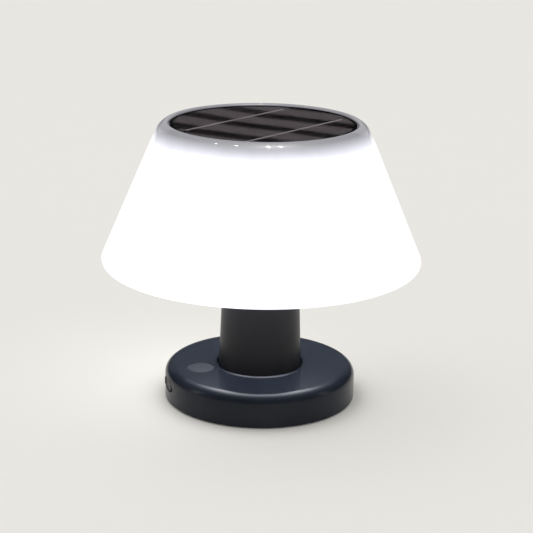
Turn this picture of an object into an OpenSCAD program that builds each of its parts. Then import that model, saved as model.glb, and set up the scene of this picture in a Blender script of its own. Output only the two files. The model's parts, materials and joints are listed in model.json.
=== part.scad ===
// Cordless solar table lantern: a round weighted base, a tapered post that holds
// the battery, and a frosted cone shade with a round solar panel in its top.
// Millimetres. Origin: centre of the foot pad's lower face. +Z up, front is -Y.

/* [Shade] */
// Largest radius of the shade, near its lower rim
shade_r = 80; // [76:0.5:84]
// Height of the shade's lower edge
shade_z0 = 71; // [68:0.5:76]
// Height of the flat that the shade's shoulder rounds up to
shade_z1 = 143.2; // [140:0.05:150]
// How far the shade's side leans inward from the vertical, degrees
shade_lean = 23; // [21:0.25:24]
// Rounding of the lower rim
rim_round = 3; // [2:0.25:4]
// Rounding of the shoulder under the panel
shoulder_round = 7.6; // [6:0.1:9]
// Rounding of the lip round the panel
lip_round = 1.8; // [1.4:0.1:2]
// Wall thickness of the shade
shade_wall = 2.2; // [1.8:0.1:2.6]

/* [Solar panel] */
// Radius of the panel laminate
panel_r = 46.1; // [45.8:0.1:46.4]
// Height of the panel's clear front face
panel_z1 = 141.8; // [141.6:0.05:142]
// Thickness of the clear front layer
cover_t = 1.2; // [0.9:0.1:1.5]
// Thickness of the backsheet board
backsheet_t = 1.2; // [0.8:0.1:1.6]
// Thickness of the adhesive foam ring under the panel
seal_t = 0.6; // [0.4:0.1:0.8]
// Direction that the tabbing ribbons run, degrees from +X
ribbon_az = 50; // [0:1:180]
// Distance from the centre to the ribbon on the left
ribbon_left = 16.6; // [12:0.1:18]
// Distance from the centre to the ribbon on the right
ribbon_right = 21.1; // [12:0.1:22]
// Length of each ribbon
ribbon_len = 73.6; // [60:0.1:76]
// Width of each ribbon
ribbon_w = 1.4; // [1:0.1:2]

/* [Post] */
// Outer radius of the post at the level of the base's top
post_r = 21; // [20:0.1:21.2]
// Outer radius of the post where it enters the shade
post_top_r = 19; // [18.4:0.1:19.6]
// Wall thickness of the post
post_wall = 2.2; // [1.8:0.1:2.4]
// Radius of the collar that carries the shade
collar_r = 29; // [28:0.5:32]

/* [Base] */
// Outer radius of the base
base_r = 48.4; // [47.5:0.1:50]
// Height of the base's top face
base_z1 = 17.2; // [17:0.1:18]
// Rounding of the base's top edge
base_round = 5; // [4:0.1:5.5]
// Wall thickness of the base housing
base_wall = 2.4; // [2.2:0.1:2.6]
// Radius of the well that the post's foot stands in
well_r = 22; // [21.8:0.1:22.4]
// Depth of that well
well_d = 2.4; // [2:0.1:2.8]
// How far the bead round the well stands above the base's top
bead_rise = 0.3; // [0.1:0.05:0.4]
// How far the foot pad stands out below the base
foot_out = 0.6; // [0.4:0.1:0.8]

/* [Controls] */
// Direction of the button and charging port from the centre, degrees from +X
control_az = 197; // [0:1:360]
// Distance from the centre to the middle of the button
button_u = 31.3; // [30.5:0.1:32]
// Radius of the button
button_r = 6.9; // [6:0.1:7]
// Travel of the button
button_travel = 0.4; // [0.2:0.05:0.4]
// Height of the middle of the charging port
port_z = 9.6; // [9.5:0.05:9.8]

/* [Hidden] */
$fn = 96;
eps = 0.01;
gap = 0.2;          // clearance between a loose cover and its seat

// Shade
shade_corner_r = shade_r + rim_round * (tan(shade_lean) + 1 / cos(shade_lean) - 1);
shoulder_z = shade_z1 - shoulder_round;
shoulder_r = cone_r(shoulder_z) - shoulder_round / cos(shade_lean);
lip_r = panel_r + 0.35 + lip_round;
lip_z = shoulder_z + sqrt(pow(shoulder_round - lip_round, 2) - pow(lip_r - shoulder_r, 2));
rim_z = shade_z0 + rim_round;
plate_t = 2.2;
plate_z0 = shade_z0 + gap;
plate_z1 = plate_z0 + plate_t;
plate_r = 75.4;
ledge_in = 2.4;
ledge_t = 2;
plate_screw_at = 70.4;
plate_screw_az = 45;
shade_boss_top = 82;

// Solar panel
panel_z0 = panel_z1 - cover_t - backsheet_t;
recess_r = lip_r - lip_round;
recess_z = panel_z0 - seal_t;
ceiling_z = recess_z - shade_wall;
cell_r = panel_r - 1.4;
cell_t = 0.25;
cell_split = 0.5;
ribbon_t = 0.12;
seal_w = 14;
lead_hole_r = 2.6;
ribbon_offsets = [-ribbon_right, ribbon_left];
ribbon_shift = -1.2;
cell_edges = [-panel_r, -ribbon_right, ribbon_left, panel_r];

// Light board
led_board_r = 26;
led_board_t = 1.6;
led_boss_len = 9.6;
led_board_z1 = ceiling_z - led_boss_len;
led_board_z0 = led_board_z1 - led_board_t;
led_screw_at = 18;
led_ring_r = [10.5, 22.6];
led_ring_n = [6, 14];
led_lead_at = [5.2, -5];

// Post
gasket_t = 0.8;
well_z = base_z1 - well_d;
post_z0 = well_z + gasket_t;
post_floor_t = 2.4;
post_floor_z = post_z0 + post_floor_t;
post_z1 = plate_z1 + 2.4;
collar_z1 = post_z1 + 1.6;
collar_gap = 0.1;
collar_screw_at = 24.5;
collar_boss_top = 81;
post_screw_at = 14.5;
post_screw_az = [60, 180, 300];
lead_hole_az = [-22, 0, 22];
lead_pass_r = 1.9;
post_slope = (post_r - post_top_r) / (shade_z0 - base_z1);

// Battery, a standard 18 mm by 65 mm cell
cell_body_r = 9.2;
cell_len = 65;
holder_r = 11.3;
holder_floor_t = 1.2;
holder_z0 = post_floor_z;
tab_t = 0.2;
battery_z0 = holder_z0 + holder_floor_t + tab_t;
battery_z1 = battery_z0 + cell_len;
holder_len = 58;

// Base
base_z0 = foot_out;
base_in_r = base_r - base_wall;
roof_z = base_z1 - base_wall;
well_floor_z = well_z - 2.2;
well_wall = 1.8;
bead_r = 0.8;
bottom_t = 2;
bottom_z1 = base_z0 + bottom_t;
base_gasket_t = 0.4;
base_screw_at = 40.5;
base_screw_az = [45, 135, 225, 315];
foot_r = [26, 36];
foot_sink = 0.4;
ballast_r = [12, 37];
ballast_t = 4;

// Controls, in a frame turned so that +X points at the charging port
board_u = [24.8, 43.2];
board_w = 24;
board_t = 1.4;
usb_h = 3.26;
usb_w = 8.94;
usb_len = 7.3;
usb_wall = 0.3;
board_z1 = port_z - usb_h / 2;
board_z0 = board_z1 - board_t;
board_screw = [27.2, 9.4];
port_face_u = 47;
port_w = 11.8;
port_h = 6.2;
plug_gap = 0.3;
plug_axis = [47.9, -6.3];
anchor_v = -9.9;
tact_h = 3.4;
tact_w = 6;
plunger_r = 1.7;
plunger_z = [board_z1 + 3, board_z1 + 4.4];
button_gap = 0.15;
button_ear = [2.6, 17];
button_ear_z = [roof_z - 1.6, roof_z - 0.4];

// Screws: shaft radius, and the clearance and pilot holes that take it
screw_r = 1.3;
hole_r = 1.6;
pilot_r = screw_r + 0.02;
head_r = 2.7;
head_t = 1.5;

// Leads: routes in the turned frame, each point [outward, sideways, height]
lead_r = 0.6;
lead_sides = 8;
lead_pair = 0.75;
battery_plus_route = [
    [2, 0.8, 86.1], [6, 0.8, 87.2], [11, 0.8, 86.6], [14, 0.8, 83], [14.4, 0.8, 76],
    [14.5, 0.8, 60], [14.5, 0.8, 40], [14.5, 0.8, 22], [14.5, 0.8, 14], [15.2, 1, 11.4],
    [18, 1.6, 9.8], [22, 2.2, 8.9], [28, 2.6, 8.7]
];
battery_minus_route = [
    [12.4, -0.8, 20.5], [13.6, -0.8, 20.6], [14.4, -0.8, 19.6], [14.5, -0.8, 17],
    [14.5, -0.8, 14], [15.2, -1, 11.4], [18, -1.6, 9.8], [22, -2.2, 8.9], [28, -2.6, 8.7]
];
led_route = [
    [28, -5, 8.7], [23, -5.2, 8.9], [18, -5.4, 9.8], [14.6, -5.4, 11.4], [13.4, -5.4, 14],
    [13.4, -5.4, 22], [13.4, -5.4, 40], [13.4, -5.4, 60], [13.2, -5.4, 76], [12.8, -5.4, 88],
    [11, -5.4, 98], [8, -5.3, 108], [5.6, -5.1, 117], [5.2, -5, 126]
];
panel_route = [
    [28, 5, 8.7], [23, 5.2, 8.9], [18, 5.4, 9.8], [14.6, 5.4, 11.4], [13.4, 5.4, 14],
    [13.4, 5.4, 22], [13.4, 5.4, 40], [13.4, 5.4, 60], [13.2, 5.4, 76], [12.8, 5.2, 88],
    [9, 4, 98], [4, 2, 108], [1, 0.4, 117], [0, 0, 127], [0, 0, 139.3]
];

function cone_r(z) = shade_corner_r - (z - shade_z0) * tan(shade_lean);
function post_r_at(z) = post_r - (z - base_z1) * post_slope;
function shift(route, by) = [for (p = route) p + by];

// Sweep of a round lead along its own points. Each ring faces the mean direction
// of the two stretches that it joins, and keeps clear of a vertical reference.
function unit(v) = v / norm(v);
function heading(route, i) = let (n = len(route) - 1)
    unit(i == 0 ? route[1] - route[0]
        : i == n ? route[n] - route[n - 1]
        : unit(route[i + 1] - route[i]) + unit(route[i] - route[i - 1]));
function ring(centre, dir) = let (a = unit(cross(dir, [0.1, 1, 0.05])), b = cross(dir, a))
    [for (k = [0:lead_sides - 1])
        centre + lead_r * (cos(k * 360 / lead_sides) * a + sin(k * 360 / lead_sides) * b)];

module lead(route) {
    n = len(route);
    s = lead_sides;
    points = [for (i = [0:n - 1]) each ring(route[i], heading(route, i))];
    sides = [for (i = [0:n - 2], k = [0:s - 1])
        [i * s + k, i * s + (k + 1) % s, (i + 1) * s + (k + 1) % s, (i + 1) * s + k]];
    rotate([0, 0, control_az])
        polyhedron(points, concat(sides,
            [[for (k = [s - 1:-1:0]) k]], [[for (k = [0:s - 1]) (n - 1) * s + k]]));
}

// Copies of the children at equal steps round the axis, at one radius
module around(n, at, az = 0) {
    for (i = [0:n - 1]) rotate([0, 0, az + i * 360 / n]) translate([at, 0, 0]) children();
}

// Copies of the children at listed angles from the control direction
module at_angles(list, at) {
    for (a = list) rotate([0, 0, control_az + a]) translate([at, 0, 0]) children();
}

module tube(r_out, r_in, z0, z1) {
    difference() {
        translate([0, 0, z0]) cylinder(r = r_out, h = z1 - z0);
        translate([0, 0, z0 - 1]) cylinder(r = r_in, h = z1 - z0 + 2);
    }
}

module bore(r, z0, z1) {
    translate([0, 0, z0]) cylinder(r = r, h = z1 - z0, $fn = 48);
}

// A bar with rounded ends, lying along X through u0..u1, centred on Y and Z
module round_bar(u0, u1, w, h, corner) {
    translate([u0, 0, 0]) rotate([90, 0, 90]) linear_extrude(u1 - u0) {
        square([w, h - 2 * corner], center = true);
        square([w - 2 * corner, h], center = true);
        for (x = [-1, 1], y = [-1, 1])
            translate([x * (w / 2 - corner), y * (h / 2 - corner)]) circle(r = corner, $fn = 32);
    }
}

// Cross-head screw pointing up, its head's lower face at z = 0. flat = countersunk
module screw(len, flat = false) {
    difference() {
        union() {
            cylinder(r = screw_r, h = len, $fn = 32);
            if (flat) cylinder(r1 = head_r, r2 = screw_r, h = head_t, $fn = 48);
            else cylinder(r = head_r, h = head_t, $fn = 48);
        }
        for (a = [0, 90]) rotate([0, 0, a]) translate([0, 0, 0.35])
            cube([2.6, 0.6, 0.9], center = true);
    }
}

// Countersunk clearance hole whose wide mouth is at z = 0
module screw_hole(len) {
    translate([0, 0, -1]) cylinder(r = hole_r, h = len + 2, $fn = 48);
    translate([0, 0, -eps]) cylinder(r1 = head_r + 0.1, r2 = hole_r, h = head_t, $fn = 48);
}

// ---- Shade ----

module shade_outline() {
    polygon([
        [0, shade_z0], [shade_r - rim_round, shade_z0],
        [shade_r - rim_round + rim_round * cos(shade_lean), rim_z + rim_round * sin(shade_lean)],
        [shoulder_r + shoulder_round * cos(shade_lean),
            shoulder_z + shoulder_round * sin(shade_lean)],
        [shoulder_r, shade_z1], [0, shade_z1]
    ]);
    translate([shade_r - rim_round, rim_z]) circle(r = rim_round);
    translate([shoulder_r, shoulder_z]) circle(r = shoulder_round);
}

// What is taken off the shoulder's crown, to leave the lip round the panel rounded
module lip_cut() {
    lip = [lip_r, lip_z];
    outward = unit(lip - [shoulder_r, shoulder_z]);
    difference() {
        polygon([[0, lip_z], lip, lip + 20 * outward, [0, lip_z + 20]]);
        translate(lip) circle(r = lip_round);
    }
}

module shade_cavity() {
    z0 = plate_z1 + ledge_t;
    side = shade_wall / cos(shade_lean);
    polygon([[0, z0], [cone_r(z0) - side, z0], [cone_r(ceiling_z) - side, ceiling_z], [0, ceiling_z]]);
}

module shade() color([0.95, 0.95, 0.97]) {
    difference() {
        union() {
            rotate_extrude($fn = 180) difference() {
                shade_outline();
                shade_cavity();
                translate([0, shade_z0 - 1]) square([plate_r + gap, plate_z1 - shade_z0 + 1]);
                translate([0, plate_z1 - 1]) square([plate_r - ledge_in, ledge_t + 2]);
                translate([0, recess_z]) square([recess_r, 10]);
                lip_cut();
            }
            around(4, plate_screw_at, plate_screw_az)
                bore(3.4, plate_z1, shade_boss_top);
            around(3, led_screw_at)
                bore(3, led_board_z1, ceiling_z + 1);
        }
        around(4, plate_screw_at, plate_screw_az) bore(pilot_r, plate_z1 - 1, shade_boss_top - 1);
        around(3, led_screw_at) bore(pilot_r, led_board_z1 - 1, ceiling_z - 1);
        bore(lead_hole_r, ceiling_z - 1, recess_z + 1);
    }
}

module shade_bottom() color([0.93, 0.93, 0.95]) difference() {
    tube(plate_r, post_r_at(plate_z0) + 0.25, plate_z0, plate_z1);
    translate([0, 0, plate_z0]) {
        around(4, plate_screw_at, plate_screw_az) screw_hole(plate_t);
        at_angles(post_screw_az, collar_screw_at) screw_hole(plate_t);
    }
}

module shade_bottom_screws() color("silver")
    translate([0, 0, plate_z0]) around(4, plate_screw_at, plate_screw_az) screw(9, true);

// ---- Solar panel ----

module cell_shape() {
    for (k = [0:2]) intersection() {
        circle(r = cell_r);
        rotate(ribbon_az) translate([-cell_r, cell_edges[k] + cell_split / 2])
            square([2 * cell_r, cell_edges[k + 1] - cell_edges[k] - cell_split]);
    }
}

module ribbon_shape() {
    rotate(ribbon_az) for (y = ribbon_offsets)
        translate([ribbon_shift - ribbon_len / 2, y - ribbon_w / 2]) square([ribbon_len, ribbon_w]);
}

module solar_cover() color([0.12, 0.12, 0.13, 0.6]) difference() {
    translate([0, 0, panel_z1 - cover_t]) cylinder(r = panel_r, h = cover_t, $fn = 180);
    translate([0, 0, panel_z1 - cover_t - 1])
        cylinder(r = cell_r + 0.1, h = 1 + cell_t + ribbon_t + 0.03, $fn = 180);
}

module solar_cells() color([0.16, 0.15, 0.16])
    translate([0, 0, panel_z1 - cover_t]) linear_extrude(cell_t) cell_shape();

module cell_ribbons() color([0.75, 0.73, 0.73])
    translate([0, 0, panel_z1 - cover_t + cell_t]) linear_extrude(ribbon_t) ribbon_shape();

module solar_backsheet() color([0.05, 0.05, 0.05])
    translate([0, 0, panel_z0]) cylinder(r = panel_r, h = backsheet_t, $fn = 180);

module panel_seal() color([0.85, 0.85, 0.85])
    tube(panel_r - 0.6, panel_r - seal_w, recess_z, panel_z0);

// ---- Light board ----

module led_board() color([0.92, 0.92, 0.9]) difference() {
    tube(led_board_r, 4, led_board_z0, led_board_z1);
    around(3, led_screw_at) bore(hole_r, led_board_z0 - 1, led_board_z1 + 1);
    rotate([0, 0, control_az]) for (v = [-1, 1])
        translate([led_lead_at[0], led_lead_at[1] + v * lead_pair, 0])
            bore(lead_r + 0.08, led_board_z0 - 1, led_board_z1 + 1);
}

module leds() color([1, 0.95, 0.7])
    for (k = [0, 1]) around(led_ring_n[k], led_ring_r[k], 30 + k * 9)
        translate([0, 0, led_board_z0 - 0.4]) cube([2.8, 3.5, 0.8], center = true);

module led_screws() color("silver")
    translate([0, 0, led_board_z0 - head_t]) around(3, led_screw_at) screw(8.5);

// ---- Post ----

module post_tube() color([0.08, 0.08, 0.09]) difference() {
    union() {
        difference() {
            translate([0, 0, post_z0])
                cylinder(r1 = post_r_at(post_z0), r2 = post_r_at(post_z1),
                    h = post_z1 - post_z0, $fn = 180);
            translate([0, 0, post_floor_z])
                cylinder(r1 = post_r_at(post_floor_z) - post_wall,
                    r2 = post_r_at(post_z1 + 1) - post_wall,
                    h = post_z1 + 1 - post_floor_z, $fn = 180);
        }
        at_angles(post_screw_az, post_screw_at) bore(2.9, post_z0, 25);
    }
    at_angles(post_screw_az, post_screw_at) bore(pilot_r, post_z0 - 1, 24);
    at_angles(lead_hole_az, post_screw_at) bore(lead_pass_r, post_z0 - 1, post_floor_z + 1);
}

// Collar bonded over the post's upper end, which the shade's bottom plate is screwed to
module post_collar() color([0.08, 0.08, 0.09]) difference() {
    union() {
        translate([0, 0, plate_z1]) cylinder(r = collar_r, h = collar_z1 - plate_z1, $fn = 180);
        at_angles(post_screw_az, collar_screw_at) bore(3.2, plate_z1, collar_boss_top);
    }
    translate([0, 0, plate_z1 - 1])
        cylinder(r = post_r_at(plate_z1) + collar_gap, h = post_z1 - plate_z1 + 1, $fn = 180);
    bore(post_r_at(post_z1) - post_wall, plate_z1, collar_z1 + 1);
    at_angles(post_screw_az, collar_screw_at) bore(pilot_r, plate_z1 - 1, collar_boss_top - 1);
}

module collar_screws() color("silver")
    translate([0, 0, plate_z0]) at_angles(post_screw_az, collar_screw_at) screw(8, true);

module post_gasket() color([0.06, 0.06, 0.06]) difference() {
    tube(19.6, 6, well_z, post_z0);
    at_angles(post_screw_az, post_screw_at) bore(hole_r, well_z - 1, post_z0 + 1);
    at_angles(lead_hole_az, post_screw_at) bore(lead_pass_r, well_z - 1, post_z0 + 1);
}

module post_screws() color("silver")
    translate([0, 0, well_floor_z - head_t])
        at_angles(post_screw_az, post_screw_at) screw(12);

// ---- Battery ----

module battery_cell() color([0.2, 0.45, 0.75])
    translate([0, 0, battery_z0]) {
        cylinder(r = cell_body_r, h = cell_len - 1.2);
        cylinder(r = 2.7, h = cell_len);
    }

module battery_holder() color([0.15, 0.15, 0.16]) rotate([0, 0, control_az]) difference() {
    translate([0, 0, holder_z0]) cylinder(r = holder_r, h = holder_len);
    translate([0, 0, holder_z0 + holder_floor_t]) cylinder(r = cell_body_r + 0.3, h = holder_len);
    translate([4, -7, holder_z0 + holder_floor_t]) cube([20, 14, holder_len]);
}

module battery_tabs() color([0.8, 0.8, 0.78]) rotate([0, 0, control_az]) {
    translate([-4, -2.5, battery_z0 - tab_t]) cube([17, 5, tab_t]);
    translate([-2.5, -2.5, battery_z1]) cube([8, 5, tab_t]);
}

module battery_lead_red() color("red") lead(battery_plus_route);
module battery_lead_black() color([0.1, 0.1, 0.1]) lead(battery_minus_route);
module led_lead_red() color("red") lead(shift(led_route, [0, lead_pair, 0]));
module led_lead_black() color([0.1, 0.1, 0.1]) lead(shift(led_route, [0, -lead_pair, 0]));
module panel_lead_red() color("red") lead(shift(panel_route, [0, lead_pair, 0]));
module panel_lead_black() color([0.1, 0.1, 0.1]) lead(shift(panel_route, [0, -lead_pair, 0]));

// ---- Base ----

module base_outline() {
    bead = [well_r + bead_r, base_z1 + bead_rise - bead_r];
    difference() {
        union() {
            square([base_r, base_z1 - base_round]);
            square([base_r - base_round, base_z1]);
            translate([base_r - base_round, base_z1 - base_round]) circle(r = base_round);
            translate(bead) circle(r = bead_r);
        }
        translate([0, base_z0 - 10]) square([base_r + 1, 10]);
        // well for the post's foot, with a rounded bead round its mouth
        translate([0, well_z]) square([well_r, well_d + 1]);
        difference() {
            translate([0, bead[1]]) square([bead[0], bead_r + 1]);
            translate(bead) circle(r = bead_r);
        }
        // inside, under the roof and under the well's floor
        square([well_r + well_wall, well_floor_z]);
        square([base_r - base_round, roof_z]);
    }
}

module base_section() {
    inner_round = base_round - base_wall;
    difference() {
        base_outline();
        square([base_in_r, base_z1 - base_round]);
        translate([base_r - base_round, base_z1 - base_round]) circle(r = inner_round);
    }
    // floor and wall of the well
    translate([0, well_floor_z]) square([well_r + well_wall, well_z - well_floor_z]);
    translate([well_r, well_floor_z]) square([well_wall, roof_z + eps - well_floor_z]);
    // rib that the gasket bears on
    translate([base_in_r - 2, bottom_z1 + base_gasket_t]) square([2 + eps, 2]);
}

module base_housing() color([0.1, 0.11, 0.13]) difference() {
    union() {
        rotate_extrude($fn = 180) base_section();
        at_angles(base_screw_az, base_screw_at) bore(3, bottom_z1 + eps, roof_z + eps);
        rotate([0, 0, control_az]) for (v = [-1, 1])
            translate([board_screw[0], v * board_screw[1], 0]) bore(2.4, board_z1, roof_z + eps);
    }
    at_angles(base_screw_az, base_screw_at) bore(pilot_r, bottom_z1 - 1, roof_z - 1);
    at_angles(post_screw_az, post_screw_at) bore(hole_r, well_floor_z - 1, well_z + 1);
    at_angles(lead_hole_az, post_screw_at) bore(lead_pass_r, well_floor_z - 1, well_z + 1);
    rotate([0, 0, control_az]) {
        for (v = [-1, 1]) translate([board_screw[0], v * board_screw[1], 0])
            bore(pilot_r, board_z1 - 1, roof_z - 1);
        translate([button_u, 0, 0]) bore(button_r + button_gap, roof_z - 1, base_z1 + 1);
        translate([0, 0, port_z]) {
            // seat of the plug, the anchor's pocket beside it, and the socket's slot
            round_bar(port_face_u, base_r + 2, port_w, port_h, 2.6);
            translate([0, (anchor_v + plug_axis[1] + 1.4) / 2, 0])
                round_bar(port_face_u, base_r + 2, plug_axis[1] + 1.4 - anchor_v + 0.3, 3.8, 0.8);
            round_bar(base_in_r - 4, base_r, usb_w + 0.5, usb_h + 0.5, 1.7);
            // hole for the anchor's stem
            translate([base_in_r - 4, (anchor_v + plug_axis[1]) / 2 - 0.2, 0])
                rotate([0, 90, 0]) cylinder(r = 0.95, h = 8, $fn = 32);
        }
    }
}

module base_bottom() color([0.09, 0.09, 0.1]) difference() {
    translate([0, 0, base_z0]) cylinder(r = base_in_r - gap, h = bottom_t, $fn = 180);
    tube(foot_r[1] + gap, foot_r[0] - gap, base_z0 - 1, base_z0 + foot_sink);
    translate([0, 0, base_z0]) at_angles(base_screw_az, base_screw_at) screw_hole(bottom_t);
}

module base_gasket() color([0.25, 0.25, 0.25])
    tube(base_in_r - 0.4, base_in_r - 2, bottom_z1, bottom_z1 + base_gasket_t);

module base_screws() color("silver")
    translate([0, 0, base_z0]) at_angles(base_screw_az, base_screw_at) screw(9, true);

module foot_pad() color([0.07, 0.07, 0.07])
    tube(foot_r[1], foot_r[0], 0, base_z0 + foot_sink);

module ballast_plate() color([0.55, 0.55, 0.57]) difference() {
    tube(ballast_r[1], ballast_r[0], bottom_z1, bottom_z1 + ballast_t);
    rotate([0, 0, control_az]) translate([22, -14, 0]) cube([30, 28, 20]);
}

// ---- Controls ----

module control_board() color([0.05, 0.35, 0.18]) rotate([0, 0, control_az]) difference() {
    translate([board_u[0], -board_w / 2, board_z0])
        cube([board_u[1] - board_u[0], board_w, board_t]);
    for (v = [-1, 1]) translate([board_screw[0], v * board_screw[1], 0])
        bore(hole_r, board_z0 - 1, board_z1 + 1);
}

module board_chips() color([0.12, 0.12, 0.12]) rotate([0, 0, control_az])
    translate([0, 0, board_z1]) {
        translate([36.4, -10.4, 0]) cube([4, 5, 1.5]);
        translate([36.4, 5.4, 0]) cube([4, 5, 1.5]);
        translate([32, 7.6, 0]) cube([2, 1.25, 1]);
        translate([32, -8.8, 0]) cube([2, 1.25, 1]);
    }

module board_screws() color("silver") rotate([0, 0, control_az])
    for (v = [-1, 1])
        translate([board_screw[0], v * board_screw[1], board_z0 - head_t]) screw(7.5);

module tact_switch() color([0.2, 0.2, 0.2]) rotate([0, 0, control_az])
    translate([button_u, 0, 0]) difference() {
        translate([-tact_w / 2, -tact_w / 2, board_z1]) cube([tact_w, tact_w, tact_h]);
        bore(plunger_r + 0.15, plunger_z[0] - button_travel - 0.2, board_z1 + tact_h + 1);
    }

module switch_plunger() color([0.85, 0.8, 0.6]) rotate([0, 0, control_az])
    translate([button_u, 0, 0]) bore(plunger_r, plunger_z[0], plunger_z[1]);

module usb_socket() color([0.75, 0.75, 0.77]) rotate([0, 0, control_az])
    translate([0, 0, port_z]) difference() {
        round_bar(port_face_u - 0.1 - usb_len, port_face_u - 0.1, usb_w, usb_h, 1.2);
        round_bar(port_face_u - usb_len + 0.7, port_face_u + 1,
            usb_w - 2 * usb_wall, usb_h - 2 * usb_wall, 1);
    }

module usb_tongue() color([0.1, 0.1, 0.1]) rotate([0, 0, control_az])
    translate([port_face_u - usb_len + 0.7, -3.35, port_z - 0.35]) cube([4.7, 6.7, 0.7]);

module button_cap() color([0.33, 0.34, 0.37]) rotate([0, 0, control_az])
    translate([button_u, 0, 0]) {
        bore(button_r, button_ear_z[0], base_z1);
        translate([-button_ear[0] / 2, -button_ear[1] / 2, button_ear_z[0]])
            cube([button_ear[0], button_ear[1], button_ear_z[1] - button_ear_z[0]]);
        bore(2.4, plunger_z[1], button_ear_z[0] + eps);
    }

module port_plug() color([0.13, 0.13, 0.14]) rotate([0, 0, control_az]) {
    near = plug_axis[1] + 0.75;
    far = port_w / 2 - plug_gap;
    intersection() {
        translate([0, 0, port_z]) difference() {
            round_bar(port_face_u + 0.1, base_r + 1, 2 * far, port_h - 2 * plug_gap, 2.3);
            translate([port_face_u - 1, -port_w, -port_h]) cube([4, near + port_w, 2 * port_h]);
        }
        cylinder(r = base_r - 0.05, h = 30, $fn = 180);
    }
    translate([0, 0, port_z])
        round_bar(port_face_u - 1, port_face_u + 0.3, usb_w - 2 * usb_wall - 0.4,
            usb_h - 2 * usb_wall - 0.4, 0.9);
}

module plug_anchor() color([0.12, 0.12, 0.13]) rotate([0, 0, control_az]) {
    v0 = anchor_v + 0.15;
    translate([plug_axis[0], plug_axis[1], port_z - 1.7]) cylinder(r = 0.55, h = 3.4, $fn = 32);
    intersection() {
        translate([port_face_u + 0.05, v0, port_z - 1.7])
            cube([plug_axis[0] - port_face_u + 0.05, plug_axis[1] - v0, 3.4]);
        cylinder(r = base_r - 0.05, h = 30, $fn = 180);
    }
    translate([0, (anchor_v + plug_axis[1]) / 2 - 0.2, port_z]) rotate([0, 90, 0]) {
        translate([0, 0, base_in_r - 1.6]) cylinder(r = 0.85, h = 3, $fn = 32);
        translate([0, 0, base_in_r - 2.6]) cylinder(r = 1.5, h = 1.2, $fn = 32);
    }
}

shade();
shade_bottom();
shade_bottom_screws();
solar_cover();
solar_cells();
cell_ribbons();
solar_backsheet();
panel_seal();
led_board();
leds();
led_screws();
post_tube();
post_collar();
collar_screws();
post_gasket();
post_screws();
battery_cell();
battery_holder();
battery_tabs();
battery_lead_red();
battery_lead_black();
led_lead_red();
led_lead_black();
panel_lead_red();
panel_lead_black();
base_housing();
base_bottom();
base_gasket();
base_screws();
foot_pad();
ballast_plate();
control_board();
board_chips();
board_screws();
tact_switch();
switch_plunger();
usb_socket();
usb_tongue();
button_cap();
port_plug();
plug_anchor();
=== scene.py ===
"""Looks of the solar table lantern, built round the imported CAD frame. Metres, +Z up, front is -Y."""

import json
import math

import bmesh
import bpy
from mathutils import Matrix, Vector


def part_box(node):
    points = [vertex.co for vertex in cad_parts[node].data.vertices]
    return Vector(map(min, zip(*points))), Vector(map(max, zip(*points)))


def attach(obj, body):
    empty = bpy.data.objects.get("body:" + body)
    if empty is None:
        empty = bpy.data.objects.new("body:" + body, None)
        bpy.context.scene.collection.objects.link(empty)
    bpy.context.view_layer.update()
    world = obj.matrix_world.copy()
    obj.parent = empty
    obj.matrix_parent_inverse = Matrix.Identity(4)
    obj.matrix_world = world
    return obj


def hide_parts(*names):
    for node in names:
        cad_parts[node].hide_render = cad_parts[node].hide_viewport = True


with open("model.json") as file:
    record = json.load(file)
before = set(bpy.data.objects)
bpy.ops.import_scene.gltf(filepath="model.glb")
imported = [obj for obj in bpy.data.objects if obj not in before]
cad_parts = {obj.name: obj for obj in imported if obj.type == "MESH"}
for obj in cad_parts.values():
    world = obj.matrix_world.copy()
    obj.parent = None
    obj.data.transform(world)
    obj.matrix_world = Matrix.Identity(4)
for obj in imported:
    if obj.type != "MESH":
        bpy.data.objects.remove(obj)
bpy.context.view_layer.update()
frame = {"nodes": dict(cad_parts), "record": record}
nodes = frame["nodes"]

MM = 0.001
UP = Vector((0, 0, 1))


# ---------------------------------------------------------------- sizes, read from the frame

def radius(node):
    """Radius of a round CAD node about the lantern's upright axis."""
    low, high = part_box(node)
    return (high.x - low.x) / 2


def floor_of(node):
    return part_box(node)[0].z


def top_of(node):
    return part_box(node)[1].z


port = next(m for m in frame["record"]["mounts"] if m["name"] == "charge_port")
PORT_OUT = Vector(port["axis"])
PORT_SIDE = UP.cross(PORT_OUT)
PORT_Z = port["pos_m"][2]
CONTROL_TURN = math.atan2(PORT_OUT.y, PORT_OUT.x)


LEAN = math.radians(23)
SHADE_R = radius("shade")
SHADE_LOW = floor_of("shade")
RIM_ROUND = 3 * MM
WALL = 2.2 * MM
RECESS_R = radius("solar_cover") + 0.35 * MM
RECESS_Z = floor_of("panel_seal")
LIP_ROUND = 1.6 * MM
SHOULDER_ROUND = 9 * MM
SHOULDER_Z = top_of("shade") - 8.32 * MM
LEAD_HOLE_R = 2.6 * MM
PLATE_LEDGE = 2.4 * MM
PLATE_GAP = 0.2 * MM
PLATE_RIM_ROUND = 0.4 * MM


def cone_r(z):
    """Radius of the shade's straight side at a height, before the rim is rounded."""
    corner = SHADE_R + RIM_ROUND * (math.tan(LEAN) + 1 / math.cos(LEAN) - 1)
    return corner - (z - SHADE_LOW) * math.tan(LEAN)


SHOULDER_R = cone_r(SHOULDER_Z) - SHOULDER_ROUND / math.cos(LEAN)
SPARK_Z = top_of("shade") - 1.6 * MM
SPARK_AWAY = 1.6
SPARK_SIZE = 0.03
SPARKS = ((-25.6, 11), (-14.2, 13), (2.6, 90), (9.2, 90))


# ---------------------------------------------------------------- camera, floor and light

CAMERA_BACK = 0.7613
CAMERA_HEIGHT = 0.2968
CAMERA_PAN = -0.0035
CAMERA_TILT = 0.2915
CAMERA_ROLL = 0.0164
LENS = 106.52
SENSOR = 36

scene = bpy.context.scene
scene.view_settings.view_transform = "Standard"


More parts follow.
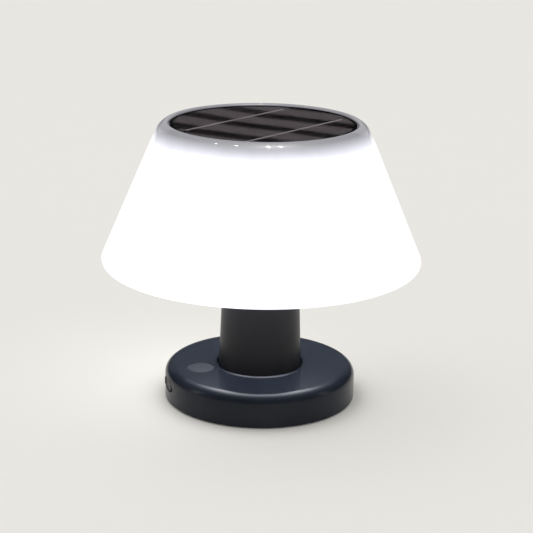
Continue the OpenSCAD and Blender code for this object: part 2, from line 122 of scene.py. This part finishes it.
def make_camera():
    camera = bpy.data.objects.new("camera", bpy.data.cameras.new("camera"))
    scene.collection.objects.link(camera)
    camera.data.lens = LENS
    camera.data.sensor_width = SENSOR
    camera.data.clip_start = 0.01
    camera.location = (0, -CAMERA_BACK, CAMERA_HEIGHT)
    aim = Matrix.Rotation(CAMERA_PAN, 3, "Z") @ Matrix.Rotation(math.pi / 2 - CAMERA_TILT, 3, "X")
    camera.rotation_euler = (aim @ Matrix.Rotation(CAMERA_ROLL, 3, "Z")).to_euler()
    scene.camera = camera


def make_world(colour, strength):
    world = bpy.data.worlds.new("studio")
    world.use_nodes = True
    background = world.node_tree.nodes["Background"]
    background.inputs["Color"].default_value = (*colour, 1)
    background.inputs["Strength"].default_value = strength
    world.cycles_visibility.glossy = False
    scene.world = world


def softbox(name, place, size, power, target=(0, 0, 0.08), colour=(1, 1, 1)):
    light = bpy.data.lights.new(name, "AREA")
    light.shape = "RECTANGLE"
    light.size, light.size_y = size
    light.energy = power
    light.color = colour
    obj = bpy.data.objects.new(name, light)
    scene.collection.objects.link(obj)
    obj.location = place
    obj.rotation_euler = (Vector(target) - Vector(place)).to_track_quat("-Z", "Y").to_euler()
    return obj


def spark(name, turn, power):
    """A bare bulb far off, where the camera sees it mirrored in the shade's shoulder."""
    light = bpy.data.lights.new(name, "POINT")
    light.energy = power
    light.shadow_soft_size = SPARK_SIZE
    obj = bpy.data.objects.new(name, light)
    scene.collection.objects.link(obj)
    obj.visible_diffuse = False
    tilt = math.asin((SPARK_Z - SHOULDER_Z) / SHOULDER_ROUND)
    flat = Vector((math.sin(turn), -math.cos(turn), 0))
    normal = math.cos(tilt) * flat + math.sin(tilt) * UP
    point = SHOULDER_R * flat + SHOULDER_Z * UP + SHOULDER_ROUND * normal
    sight = (point - scene.camera.location).normalized()
    obj.location = point + SPARK_AWAY * (sight - 2 * sight.dot(normal) * normal)
    return obj


def link_lights(name, emitters, things, state):
    """Emitters light only these things (INCLUDE), or everything but them (EXCLUDE)."""
    group = bpy.data.collections.new(name)
    for thing in things:
        group.objects.link(thing)
    for entry in group.collection_objects:
        entry.light_linking.link_state = state
    for emitter in emitters:
        emitter.light_linking.receiver_collection = group


# ---------------------------------------------------------------- material helpers

class Look:
    """A Principled material with the few node calls that its pattern needs."""

    def __init__(self, name, colour, roughness=0.5, metallic=0.0, specular=0.5):
        self.material = bpy.data.materials.new(name)
        self.material.use_nodes = True
        self.tree = self.material.node_tree
        self.shader = self.tree.nodes["Principled BSDF"]
        self.set("Base Color", (*colour, 1))
        self.set("Roughness", roughness)
        self.set("Metallic", metallic)
        self.set("Specular IOR Level", specular)
        self.place = self.tree.nodes.new("ShaderNodeTexCoord").outputs["Object"]

    def set(self, socket, value):
        self.shader.inputs[socket].default_value = value
        return self

    def link(self, out, socket):
        self.tree.links.new(out, self.shader.inputs[socket])
        return self

    def plug(self, node, index, value):
        if isinstance(value, bpy.types.NodeSocket):
            self.tree.links.new(value, node.inputs[index])
        elif value is not None:
            node.inputs[index].default_value = value

    def math(self, operation, a, b=None, c=None):
        node = self.tree.nodes.new("ShaderNodeMath")
        node.operation = operation
        for index, value in enumerate((a, b, c)):
            self.plug(node, index, value)
        return node.outputs[0]

    def placed(self, scale=(1, 1, 1), turn=0.0, shift=(0, 0, 0)):
        """Object coordinates moved by shift, turned about Z and scaled along each axis."""
        moved = self.tree.nodes.new("ShaderNodeVectorMath")
        moved.operation = "SUBTRACT"
        self.plug(moved, 0, self.place)
        self.plug(moved, 1, Vector(shift))
        rotated = self.tree.nodes.new("ShaderNodeVectorRotate")
        rotated.rotation_type = "Z_AXIS"
        self.plug(rotated, "Vector", moved.outputs[0])
        self.plug(rotated, "Angle", -turn)
        scaled = self.tree.nodes.new("ShaderNodeVectorMath")
        scaled.operation = "MULTIPLY"
        self.plug(scaled, 0, rotated.outputs[0])
        self.plug(scaled, 1, Vector(scale))
        return scaled.outputs[0]

    def noise(self, per_mm, detail=3.0, roughness=0.55, where=None):
        """Noise with about per_mm features in a millimetre."""
        node = self.tree.nodes.new("ShaderNodeTexNoise")
        self.plug(node, "Vector", where or self.place)
        self.plug(node, "Scale", per_mm / MM)
        self.plug(node, "Detail", detail)
        self.plug(node, "Roughness", roughness)
        return node.outputs["Fac"]

    def span(self, value, low, high, to_low=0.0, to_high=1.0, smooth=False):
        node = self.tree.nodes.new("ShaderNodeMapRange")
        node.interpolation_type = "SMOOTHSTEP" if smooth else "LINEAR"
        for index, number in enumerate((value, low, high, to_low, to_high)):
            self.plug(node, index, number)
        return node.outputs[0]

    def blend(self, factor, a, b):
        node = self.tree.nodes.new("ShaderNodeMix")
        node.data_type = "RGBA"
        self.plug(node, 0, factor)
        for index, value in ((6, a), (7, b)):
            self.plug(node, index, (*value, 1) if isinstance(value, tuple) else value)
        return node.outputs[2]

    def axis(self, name, where=None):
        node = self.tree.nodes.new("ShaderNodeSeparateXYZ")
        self.plug(node, 0, where or self.place)
        return node.outputs[name]

    def outward(self):
        """Distance from the lantern's upright axis."""
        flat = self.tree.nodes.new("ShaderNodeVectorMath")
        flat.operation = "LENGTH"
        self.plug(flat, 0, self.placed((1, 1, 0)))
        return flat.outputs["Value"]

    def corner_normal(self, width):
        node = self.tree.nodes.new("ShaderNodeBevel")
        node.samples = 4
        self.plug(node, "Radius", width)
        return node.outputs[0]

    def bump(self, height, distance, corner=0.0):
        """Surface relief of this depth, on edges softened by corner metres."""
        node = self.tree.nodes.new("ShaderNodeBump")
        self.plug(node, "Distance", distance)
        self.plug(node, "Height", height)
        if corner:
            self.plug(node, "Normal", self.corner_normal(corner))
        return self.link(node.outputs[0], "Normal")


def moulded(name, dark, light, roughness, specular=0.5, grain=3.0, depth=0.004, corner=0.0):
    """Moulded plastic or rubber: fine spark-eroded grain and faint mottling."""
    look = Look(name, dark, roughness, specular=specular)
    mottle = look.noise(0.04, 4)
    look.link(look.blend(look.span(mottle, 0.35, 0.7), dark, light), "Base Color")
    fine = look.noise(grain, 2, 0.6)
    look.link(look.span(fine, 0.3, 0.7, roughness * 0.92, roughness * 1.15), "Roughness")
    look.bump(fine, depth * MM, corner * MM)
    return look


def metal(name, colour, roughness, stretch=(1, 1, 1), turn=0.0, per_mm=2.0):
    """Rolled or plated metal with fine scratches, drawn out along the short stretch."""
    look = Look(name, colour, roughness, metallic=0.55)
    lines = look.noise(per_mm, 3, 0.7, look.placed(stretch, turn))
    shade = tuple(0.72 * c for c in colour)
    look.link(look.blend(look.span(lines, 0.3, 0.7), shade, colour), "Base Color")
    look.link(look.span(lines, 0.2, 0.8, max(0.05, roughness - 0.1), roughness + 0.15), "Roughness")
    look.bump(lines, 0.004 * MM, 0.1 * MM)
    return look


def wear(look, *pieces):
    """Puts a look on CAD nodes, given by name, or on new pieces."""
    for piece in pieces:
        obj = nodes[piece] if isinstance(piece, str) else piece
        obj.data.materials.clear()
        obj.data.materials.append(look.material)


# ---------------------------------------------------------------- mesh helpers

TURN_STEPS = 240


def arc(centre, r, start, end, steps):
    """Points of an arc in the radius-height plane, angles in degrees from outward."""
    angles = [math.radians(start + (end - start) * k / steps) for k in range(steps + 1)]
    return [(centre[0] + r * math.cos(a), centre[1] + r * math.sin(a)) for a in angles]


def piece_from(name, bm, body, look, replaced=()):
    """Finishes a mesh: normals, smooth faces with sharp corners, body, slot and look."""
    bmesh.ops.remove_doubles(bm, verts=bm.verts, dist=1e-7)
    bmesh.ops.recalc_face_normals(bm, faces=bm.faces)
    mesh = bpy.data.meshes.new(name)
    bm.to_mesh(mesh)
    bm.free()
    mesh.shade_smooth()
    mesh.set_sharp_from_angle(angle=math.radians(32))
    obj = bpy.data.objects.new(name, mesh)
    scene.collection.objects.link(obj)
    wear(look, obj)
    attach(obj, body)
    if replaced:
        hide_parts(*replaced)
    return obj


def lathe(bm, outline, steps=TURN_STEPS):
    """Turns a closed outline of (radius, height) points about the upright axis."""
    rings = []
    for r, z in outline:
        if r < 1e-9:
            rings.append([bm.verts.new((0, 0, z))] * steps)
            continue
        turns = [2 * math.pi * k / steps for k in range(steps)]
        rings.append([bm.verts.new((r * math.cos(t), r * math.sin(t), z)) for t in turns])
    for a, b in zip(rings, rings[1:] + rings[:1]):
        for k in range(steps):
            corners = [a[k], a[(k + 1) % steps], b[(k + 1) % steps], b[k]]
            unique = list(dict.fromkeys(corners))
            if len(unique) > 2:
                bm.faces.new(unique)
    return bm


def prism(bm, outline, start, end, matrix):
    """Closed prism of an outline in the matrix's XY plane, from start to end along its Z."""
    low = [bm.verts.new(matrix @ Vector((x, y, start))) for x, y in outline]
    high = [bm.verts.new(matrix @ Vector((x, y, end))) for x, y in outline]
    bm.faces.new(low[::-1])
    bm.faces.new(high)
    for k in range(len(outline)):
        n = (k + 1) % len(outline)
        bm.faces.new([low[k], low[n], high[n], high[k]])
    return bm


def round_box(width, height, corner, steps=8):
    """Outline of a rectangle with round corners about the origin."""
    x, y = width / 2 - corner, height / 2 - corner
    points = []
    for quarter, (cx, cy) in enumerate(((x, y), (-x, y), (-x, -y), (x, -y))):
        points += arc((cx, cy), corner, 90 * quarter, 90 * quarter + 90, steps)
    return points


def circle(r, steps=64):
    return arc((0, 0), r, 0, 360 - 360 / steps, steps - 1)


def combine(bm, others, operation="DIFFERENCE"):
    """The mesh less the others, or joined with them, by exact booleans."""
    def temporary(part, name):
        bmesh.ops.recalc_face_normals(part, faces=part.faces)
        mesh = bpy.data.meshes.new(name)
        part.to_mesh(mesh)
        part.free()
        obj = bpy.data.objects.new(name, mesh)
        scene.collection.objects.link(obj)
        return obj

    body = temporary(bm, "cut_body")
    tools = [temporary(other, f"cut_tool_{k}") for k, other in enumerate(others)]
    for tool in tools:
        modifier = body.modifiers.new("cut", "BOOLEAN")
        modifier.operation = operation
        modifier.solver = "EXACT"
        modifier.object = tool
    result = bmesh.new()
    result.from_object(body, bpy.context.evaluated_depsgraph_get())
    for obj in (body, *tools):
        bpy.data.objects.remove(obj)
    return result


# Frame whose Z points out of the charging port and whose X lies along the base's rim
PORT_FRAME = Matrix.Translation(PORT_Z * UP) @ Matrix(
    (PORT_SIDE, UP, PORT_OUT)).transposed().to_4x4()


# ---------------------------------------------------------------- frosted shade

def shade_outline():
    rim = (SHADE_R - RIM_ROUND, SHADE_LOW + RIM_ROUND)
    lip_r = RECESS_R + LIP_ROUND
    lip_rise = math.sqrt((SHOULDER_ROUND - LIP_ROUND) ** 2 - (lip_r - SHOULDER_R) ** 2)
    meet = math.degrees(math.atan2(lip_rise, lip_r - SHOULDER_R))
    lean = math.degrees(LEAN)
    side = WALL / math.cos(LEAN)
    ceiling = RECESS_Z - WALL
    ceiling_r = cone_r(ceiling) - side
    plate = radius("shade_bottom")
    plate_top = top_of("shade_bottom")
    plate_hole = plate + PLATE_GAP
    ledge_r = plate - PLATE_LEDGE
    ledge = plate_top + 2 * MM
    inner_rim = (plate_hole + PLATE_RIM_ROUND, SHADE_LOW + PLATE_RIM_ROUND)
    return (
        arc(rim, RIM_ROUND, -90, lean, 14)
        + arc((SHOULDER_R, SHOULDER_Z), SHOULDER_ROUND, lean, meet, 18)
        + arc((lip_r, SHOULDER_Z + lip_rise), LIP_ROUND, meet, 180, 14)
        + [(RECESS_R, RECESS_Z), (LEAD_HOLE_R, RECESS_Z), (LEAD_HOLE_R, ceiling)]
        + [(ceiling_r, ceiling), (cone_r(ledge) - side, ledge), (ledge_r, ledge)]
        + [(ledge_r, plate_top), (plate_hole, plate_top)]
        + arc(inner_rim, PLATE_RIM_ROUND, 180, 270, 5)
    )


SHADE_GLOW = (0.9, 0.91, 1.0)
SIDE_GLOW = 1.15
GLOW_END = top_of("shade") - 1.4 * MM
GLOW_FADE = 8.8 * MM
PLATE_HOT = 12.0
PLATE_COOL = 0.7
PLATE_COOL_R = 62 * MM


def opal(name, glow):
    """Opal plastic lit from inside. glow takes the look and gives the strength's socket."""
    look = Look(name, (0.36, 0.36, 0.39), 0.42, specular=0.2)
    cloud = look.noise(0.05, 4)
    look.set("Emission Color", (*SHADE_GLOW, 1))
    uneven = look.span(cloud, 0.3, 0.7, 0.9, 1.1)
    look.link(look.math("MULTIPLY", glow(look), uneven), "Emission Strength")
    fine = look.noise(2.5, 2)
    look.link(look.blend(cloud, (0.34, 0.34, 0.37), (0.38, 0.38, 0.41)), "Base Color")
    look.link(look.span(fine, 0.3, 0.7, 0.36, 0.46), "Roughness")
    look.set("Coat Weight", 0.6)
    look.set("Coat Roughness", 0.03)
    look.bump(fine, 0.0012 * MM)
    return look


def side_glow(look):
    """Full glow on the side, fading out over the shoulder, above the light board."""
    return look.span(look.axis("Z"), GLOW_END - GLOW_FADE, GLOW_END, SIDE_GLOW, 0.0)


def plate_glow(look):
    """Hot under the light board's ring of LEDs, fading outward."""
    hot_r = radius("led_board") + 4 * MM
    return look.span(look.outward(), hot_r, PLATE_COOL_R, PLATE_HOT, PLATE_COOL, smooth=True)


def make_shade():
    shell = piece_from("shade_shell", lathe(bmesh.new(), shade_outline()), "lantern",
                       opal("opal_shade", side_glow), ["shade"])
    wear(opal("opal_plate", plate_glow), "shade_bottom")
    return shell


# ---------------------------------------------------------------- solar panel

PANEL_R = radius("solar_cover")
PANEL_TOP = top_of("solar_cover")
CELLS_LOW = floor_of("solar_cells")
CELLS_TOP = PANEL_TOP - 0.35 * MM
CELL_R = radius("solar_cells")
RIBBON_AT = (-21.1 * MM, 16.6 * MM)
RIBBON_SHIFT = -1.2 * MM
RIBBON_SIZE = (73.6 * MM, 1.4 * MM)
RIBBON_TURN = math.radians(50)
RIBBON_THICK = 0.1 * MM
RIBBON_ROUND = 0.3 * MM
CELL_CUTS = (-48 * MM, *RIBBON_AT, 48 * MM)
CELL_SPLIT = 0.5 * MM
# Painted reflection on the cells: period of its light and dark bands, and each cell's band turn and
# shift
REFLECTION_BAND_PERIOD = 25.9 * MM
REFLECTION_BAND_TURNS = (-33, -28, -35)
REFLECTION_BAND_SHIFTS = (-5.2 * MM, -6.5 * MM, -3.5 * MM)
CLEAR_THICK = 0.2 * MM
BORDER_EDGE = 0.25 * MM


def cell_outline(low, high):
    """Slice of the round panel between two lines along the ribbons."""
    a, b = (math.degrees(math.asin(max(-1, min(1, edge / CELL_R)))) for edge in (low, high))
    return arc((0, 0), CELL_R, a, b, 40) + arc((0, 0), CELL_R, 180 - b, 180 - a, 40)


def cell_look_painted_reflection(name, turn, shift):
    """Charcoal silicon with a painted reflection: soft light and dark bands painted into its colour,
    with fine streaks drawn along them.
    """
    look = Look(name, (0.07, 0.063, 0.066), 0.3, specular=0.5)
    angle = math.radians(turn)
    across = look.axis("Y", look.placed(turn=angle))
    ripple = look.noise(0.06, 3, 0.5, look.placed((0.35, 1, 1), angle))
    streak = look.noise(1.3, 4, 0.65, look.placed((0.03, 1, 1), angle))
    moved = look.math("SUBTRACT", across, shift)
    phase = look.math("ADD", look.math("DIVIDE", moved, REFLECTION_BAND_PERIOD), 0.5)
    wrapped = look.math("ABSOLUTE", look.math("SUBTRACT", look.math("FRACT", phase), 0.5))
    soft = look.math("ADD", wrapped, look.span(ripple, 0.3, 0.7, -0.025, 0.025))
    # Painted reflection: the lighter bands blended into the cells' colour
    light = look.span(soft, 0.1, 0.31, smooth=True)
    colour = look.blend(light, (0.02, 0.017, 0.018), (0.152, 0.13, 0.134))
    drawn = look.span(streak, 0.35, 0.75, 0.0, 0.35)
    look.link(look.blend(drawn, colour, (0.062, 0.054, 0.056)), "Base Color")
    look.link(look.span(streak, 0.2, 0.8, 0.25, 0.42), "Roughness")
    look.bump(streak, 0.004 * MM)
    return look


def make_panel():
    level = Matrix.Rotation(RIBBON_TURN, 4, "Z")
    spans = zip(CELL_CUTS, CELL_CUTS[1:])
    names = ("cell_right", "cell_middle", "cell_left")
    pieces = []
    for name, (low, high), turn, shift in zip(names, spans, REFLECTION_BAND_TURNS, REFLECTION_BAND_SHIFTS):
        outline = cell_outline(low + CELL_SPLIT / 2, high - CELL_SPLIT / 2)
        bm = prism(bmesh.new(), outline, CELLS_LOW, CELLS_TOP, level)
        look = cell_look_painted_reflection(name, turn, shift)
        pieces.append(piece_from(name, bm, "lantern", look, ["solar_cells"]))
    tinned = metal("tinned", (0.8, 0.7, 0.72), 0.42, (0.05, 1, 1), RIBBON_TURN)
    for name, across in zip(("ribbon_right", "ribbon_left"), RIBBON_AT):
        place = level @ Matrix.Translation((RIBBON_SHIFT, across, 0))
        outline = round_box(*RIBBON_SIZE, RIBBON_ROUND, 4)
        bm = prism(bmesh.new(), outline, CELLS_TOP, CELLS_TOP + RIBBON_THICK, place)
        piece_from(name, bm, "lantern", tinned, ["cell_ribbons"])
    clear = Look("clear_front", (0.02, 0.018, 0.02), 0.06)
    clear.set("Alpha", 0.07)
    speck = clear.noise(1.2, 2)
    clear.link(clear.span(speck, 0.4, 0.8, 0.04, 0.12), "Roughness")
    clear.bump(speck, 0.002 * MM)
    inner = CELL_R + 0.1 * MM
    under = PANEL_TOP - CLEAR_THICK
    skin = lathe(bmesh.new(), [(0, PANEL_TOP), (0, under), (inner, under), (inner, PANEL_TOP)])
    pieces.append(piece_from("clear_front", skin, "lantern", clear,
                             ["solar_cover"]))
    edge = arc((PANEL_R - BORDER_EDGE, PANEL_TOP - BORDER_EDGE), BORDER_EDGE, 0, 90, 5)
    border = lathe(bmesh.new(), edge + [(inner, PANEL_TOP), (inner, CELLS_LOW), (PANEL_R, CELLS_LOW)])
    black = moulded("panel_border", (0.006, 0.0055, 0.006), (0.009, 0.0085, 0.009), 0.3, 0.3)
    pieces.append(piece_from("panel_border", border, "lantern", black,
                             ["solar_cover"]))
    wear(moulded("laminate", (0.006, 0.006, 0.006), (0.01, 0.01, 0.01), 0.5), "solar_backsheet")
    wear(moulded("foam", (0.7, 0.7, 0.7), (0.82, 0.82, 0.82), 0.9, grain=5, depth=0.05), "panel_seal")
    return pieces


# ---------------------------------------------------------------- base

BASE_R = radius("base_housing")
BASE_LOW = floor_of("base_housing")
BASE_TOP = top_of("button_cap")
BASE_ROUND = 5 * MM
BASE_WALL = 2.4 * MM
WELL_R = 22 * MM
WELL_Z = BASE_TOP - 2.4 * MM
BEAD_RISE = 0.6 * MM
BEAD_WIDTH = 1.5 * MM
BEAD_SLOPE = 38
BEAD_ROUND = 0.3 * MM


def base_outline():
    inside = BASE_R - BASE_WALL
    roof = BASE_TOP - BASE_WALL
    well_under = WELL_Z - 2.2 * MM
    rib = top_of("base_gasket")
    corner = (BASE_R - BASE_ROUND, BASE_TOP - BASE_ROUND)
    foot = 0.5 * MM
    bead_top = BASE_TOP + BEAD_RISE - BEAD_ROUND
    slope_in = WELL_R + BEAD_WIDTH - BEAD_RISE / math.tan(math.radians(BEAD_SLOPE))
    return (
        arc((BASE_R - foot, BASE_LOW + foot), foot, -90, 0, 5)
        + arc(corner, BASE_ROUND, 0, 90, 20)
        + [(WELL_R + BEAD_WIDTH, BASE_TOP)]
        + arc((slope_in - 0.1 * MM, bead_top), BEAD_ROUND, 90 - BEAD_SLOPE, 90, 5)
        + arc((WELL_R + BEAD_ROUND, bead_top), BEAD_ROUND, 90, 180, 6)
        + [(WELL_R, WELL_Z), (0, WELL_Z), (0, well_under), (WELL_R + 1.8 * MM, well_under)]
        + [(WELL_R + 1.8 * MM, roof)]
        + arc(corner, BASE_ROUND - BASE_WALL, 90, 0, 10)
        + [(inside, rib + 2 * MM), (inside - 2 * MM, rib + 2 * MM), (inside - 2 * MM, rib)]
        + [(inside, rib), (inside, BASE_LOW)]
    )


plunger_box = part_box("switch_plunger")
BUTTON_CENTRE = (plunger_box[0] + plunger_box[1]) / 2
BUTTON_FACE_R = 6.9 * MM
BUTTON_GAP = 0.15 * MM
BUTTON_EDGE = 0.25 * MM
BUTTON_THICK = 3.4 * MM
BUTTON_WELL = 4 * MM

# The charging port, in PORT_FRAME: the recess with its flat floor, then what is cut around and behind it
PORT_FACE = 47 * MM
PORT_SIZE = (11.8 * MM, 6.2 * MM)
PORT_ROUND = 2.6 * MM
POCKET_SIZE = (5.3 * MM, 3.8 * MM)
POCKET_ROUND = 0.8 * MM
POCKET_AT = -7.4 * MM
SLOT_SIZE = (9.44 * MM, 3.76 * MM)
SLOT_ROUND = 1.7 * MM
SLOT_DEPTH = 6.4 * MM
STEM_R = 0.95 * MM
STEM_AT = -8.3 * MM
NOTCH_R = 1.5 * MM
NOTCH_AT = (5.6 * MM, -0.6 * MM)
NOTCH_SINK = 0.4 * MM
CUT_PAST = 2 * MM


def paint_port_shade(look):
    """Paints shade on the walls of the charging port's recess, and those inside the base: they are made
    matte and near black as painted shade.
    """
    port_top = PORT_Z + PORT_SIZE[1] / 2 + 0.1 * MM
    # Mask of the painted shade: inside the base's round wall and below the port's top
    shade_below_wall = look.span(look.outward(), BASE_R - 0.45 * MM, BASE_R - 0.25 * MM, 1.0, 0.0)
    low = look.span(look.axis("Z"), port_top, port_top + 0.1 * MM, 1.0, 0.0)
    inside = look.math("MULTIPLY", shade_below_wall, low)
    colour = look.shader.inputs["Base Color"].links[0].from_socket
    # Painted shade: near black colour blended in where that mask is
    look.link(look.blend(inside, colour, (0.001, 0.001, 0.0015)), "Base Color")
    rough = look.shader.inputs["Roughness"].links[0].from_socket
    look.link(look.math("ADD", rough, look.math("MULTIPLY", inside, 0.6)), "Roughness")


def make_base():
    hole = prism(bmesh.new(), circle(BUTTON_FACE_R + BUTTON_GAP), BASE_TOP - BUTTON_WELL,
                 BASE_TOP + 1 * MM, Matrix.Translation((BUTTON_CENTRE.x, BUTTON_CENTRE.y, 0)))
    port_cuts = [
        (round_box(*PORT_SIZE, PORT_ROUND), PORT_FACE, (0, 0)),
        (round_box(*POCKET_SIZE, POCKET_ROUND), PORT_FACE, (POCKET_AT, 0)),
        (round_box(*SLOT_SIZE, SLOT_ROUND), BASE_R - SLOT_DEPTH, (0, 0)),
        (circle(STEM_R, 32), BASE_R - SLOT_DEPTH, (STEM_AT, 0)),
        (circle(NOTCH_R, 32), PORT_FACE - NOTCH_SINK, NOTCH_AT),
    ]
    cuts = [hole]
    for outline, floor_at, place in port_cuts:
        frame_at = PORT_FRAME @ Matrix.Translation((*place, 0))
        cuts.append(prism(bmesh.new(), outline, floor_at, BASE_R + CUT_PAST, frame_at))
    bm = combine(lathe(bmesh.new(), base_outline()), cuts)
    look = moulded("base_black", (0.0078, 0.0098, 0.0145), (0.0108, 0.0132, 0.019), 0.22, 0.18,
                   grain=2.6, depth=0.0005, corner=0.2)
    paint_port_shade(look)
    piece_from("base_shell", bm, "lantern", look, ["base_housing"])


def make_button():
    """The grey key, its face slightly dished."""
    top = BASE_TOP
    under = top - BUTTON_THICK
    outline = (
        arc((BUTTON_FACE_R - BUTTON_EDGE, top - BUTTON_EDGE), BUTTON_EDGE, 0, 90, 6)
        + [(BUTTON_FACE_R * 0.55, top - 0.06 * MM), (0, top - 0.1 * MM), (0, under)]
        + [(BUTTON_FACE_R, under)]
    )
    bm = lathe(bmesh.new(), outline, 96)
    bmesh.ops.translate(bm, verts=bm.verts, vec=(BUTTON_CENTRE.x, BUTTON_CENTRE.y, 0))
    look = moulded("button_grey", (0.014, 0.018, 0.022), (0.018, 0.023, 0.028), 0.4, 0.3,
                   grain=4, corner=0.1)
    piece_from("button_key", bm, "button", look, ["button_cap"])


PLUG_SIZE = (10.2 * MM, 5.5 * MM)
PLUG_SHIFT = -0.44 * MM
PLUG_ROUND = 2.2 * MM
PLUG_BACK = 0.1 * MM
PLUG_SINK = 0.05 * MM
TONGUE_SIZE = (7.94 * MM, 2.26 * MM)
TONGUE_ROUND = 0.9 * MM
# Millimetres in from the plug's outline, and below the base's round wall; None is its flat back
PLUG_LEVELS = ((0, None), (0, 0.45), (0.1, 0.15), (0.35, 0), (0.8, 0), (1, 0.16), (1.5, 0.22))


def make_plug():
    """Rubber plug that follows the base's round wall, with a bevelled edge and a dished face."""
    bm = bmesh.new()
    loops = []
    for inset_mm, sunk_mm in PLUG_LEVELS:
        inset = inset_mm * MM
        outline = round_box(PLUG_SIZE[0] - 2 * inset, PLUG_SIZE[1] - 2 * inset, PLUG_ROUND - inset)
        loop = []
        for x, y in outline:
            x += PLUG_SHIFT
            wall = math.sqrt(BASE_R ** 2 - x ** 2) - PLUG_SINK
            out = PORT_FACE + PLUG_BACK if sunk_mm is None else wall - sunk_mm * MM
            loop.append(bm.verts.new(PORT_FRAME @ Vector((x, y, out))))
        loops.append(loop)
    for a, b in zip(loops, loops[1:]):
        for k in range(len(a)):
            n = (k + 1) % len(a)
            bm.faces.new([a[k], a[n], b[n], b[k]])
    bm.faces.new(loops[0][::-1])
    bm.faces.new(loops[-1])
    tongue = prism(bmesh.new(), round_box(*TONGUE_SIZE, TONGUE_ROUND), PORT_FACE - 1 * MM,
                   PORT_FACE + 0.4 * MM, PORT_FRAME)
    bm = combine(bm, [tongue], "UNION")
    look = moulded("plug_rubber", (0.02, 0.021, 0.024), (0.026, 0.027, 0.031), 0.45, 0.4, corner=0.12)
    piece_from("plug_cap", bm, "plug", look, ["port_plug"])
    wear(look, "plug_anchor")


# ---------------------------------------------------------------- the other CAD nodes

def dress_nodes():
    wear(moulded("post_black", (0.007, 0.007, 0.0082), (0.009, 0.009, 0.0104), 0.38, 0.22),
         "post_tube", "post_collar")
    wear(moulded("bottom_black", (0.012, 0.012, 0.013), (0.018, 0.018, 0.019), 0.5), "base_bottom")
    rubber = moulded("rubber", (0.012, 0.012, 0.012), (0.02, 0.02, 0.02), 0.72, 0.3, grain=4, depth=0.01)
    wear(rubber, "foot_pad", "post_gasket", "base_gasket")
    screws = metal("zinc", (0.56, 0.56, 0.55), 0.3)
    wear(screws, *(name for name in nodes if name.endswith("_screws")))
    wear(metal("nickel", (0.66, 0.63, 0.57), 0.28, (0.1, 1, 1), CONTROL_TURN), "battery_tabs")
    wear(metal("ballast", (0.36, 0.36, 0.37), 0.4, (0.04, 1, 1), per_mm=1), "ballast_plate")
    wear(metal("socket_shell", (0.6, 0.6, 0.62), 0.25, (0.1, 1, 1), CONTROL_TURN), "usb_socket")
    wear(moulded("holder", (0.02, 0.02, 0.02), (0.03, 0.03, 0.03), 0.5), "battery_holder")
    wear(moulded("package", (0.012, 0.012, 0.012), (0.02, 0.02, 0.02), 0.6, grain=6),
         "board_chips", "tact_switch", "usb_tongue")
    wear(moulded("ivory", (0.6, 0.54, 0.38), (0.66, 0.6, 0.43), 0.4), "switch_plunger")
    wear(moulded("red_insulation", (0.45, 0.015, 0.012), (0.55, 0.025, 0.02), 0.35),
         "battery_lead_red", "led_lead_red", "panel_lead_red")
    wear(moulded("black_insulation", (0.01, 0.01, 0.01), (0.016, 0.016, 0.016), 0.35),
         "battery_lead_black", "led_lead_black", "panel_lead_black")
    wear(moulded("sleeve", (0.03, 0.12, 0.4), (0.04, 0.15, 0.46), 0.3, grain=0.6, depth=0.03),
         "battery_cell")
    wear(moulded("green_mask", (0.008, 0.09, 0.035), (0.015, 0.13, 0.05), 0.35), "control_board")
    wear(moulded("white_mask", (0.72, 0.72, 0.7), (0.8, 0.8, 0.78), 0.4), "led_board")
    phosphor = moulded("phosphor", (0.9, 0.72, 0.25), (0.95, 0.8, 0.35), 0.4)
    phosphor.set("Emission Color", (1, 0.93, 0.8, 1)).set("Emission Strength", 4.0)
    wear(phosphor, "leds")


def make_floor():
    bm = bmesh.new()
    bmesh.ops.create_grid(bm, x_segments=8, y_segments=8, size=6)
    mesh = bpy.data.meshes.new("floor")
    bm.to_mesh(mesh)
    bm.free()
    floor = bpy.data.objects.new("floor", mesh)
    scene.collection.objects.link(floor)
    look = Look("pale_floor", (0.823, 0.807, 0.761), 0.95, specular=0.05)
    grain = look.noise(0.02, 4)
    look.link(look.blend(grain, (0.819, 0.803, 0.757), (0.827, 0.811, 0.765)), "Base Color")
    wear(look, floor)
    return floor


make_camera()
make_world((1, 1, 1), 1.0)
floor = make_floor()
shell = make_shade()
panel = make_panel()
make_base()
make_button()
make_plug()
dress_nodes()

edge_strips = [
    softbox("strip_left", (-0.9, -0.15, 0.3), (0.1, 0.5), 0.6),
    softbox("strip_right", (0.9, -0.1, 0.3), (0.1, 0.5), 0.4),
]
back_box = softbox("back_box", (0, 1.2, 0.42), (1.8, 0.36), 0.5, colour=(0.78, 0.9, 1))
lip_box = softbox("lip_box", (0, 1.2, 0.5), (1.8, 0.5), 1.7)
sparks = [
    spark(f"spark_{number}", math.radians(turn), power)
    for number, (turn, power) in enumerate(SPARKS)
]
floor_fill = softbox("floor_fill", (-0.012, 0.01, 0.069), (0.1, 0.1), 0.065, target=(-0.012, 0.01, 0))
floor_fill.visible_camera = False

link_lights("strip_receivers", edge_strips, [floor, shell], "EXCLUDE")
link_lights("back_receivers", [back_box], [floor, shell, *panel], "EXCLUDE")
link_lights("glow_receivers", [shell, nodes["shade_bottom"]], [floor], "EXCLUDE")
link_lights("lip_receivers", [lip_box, *sparks], [shell], "INCLUDE")
link_lights("fill_receivers", [floor_fill], [floor], "INCLUDE")
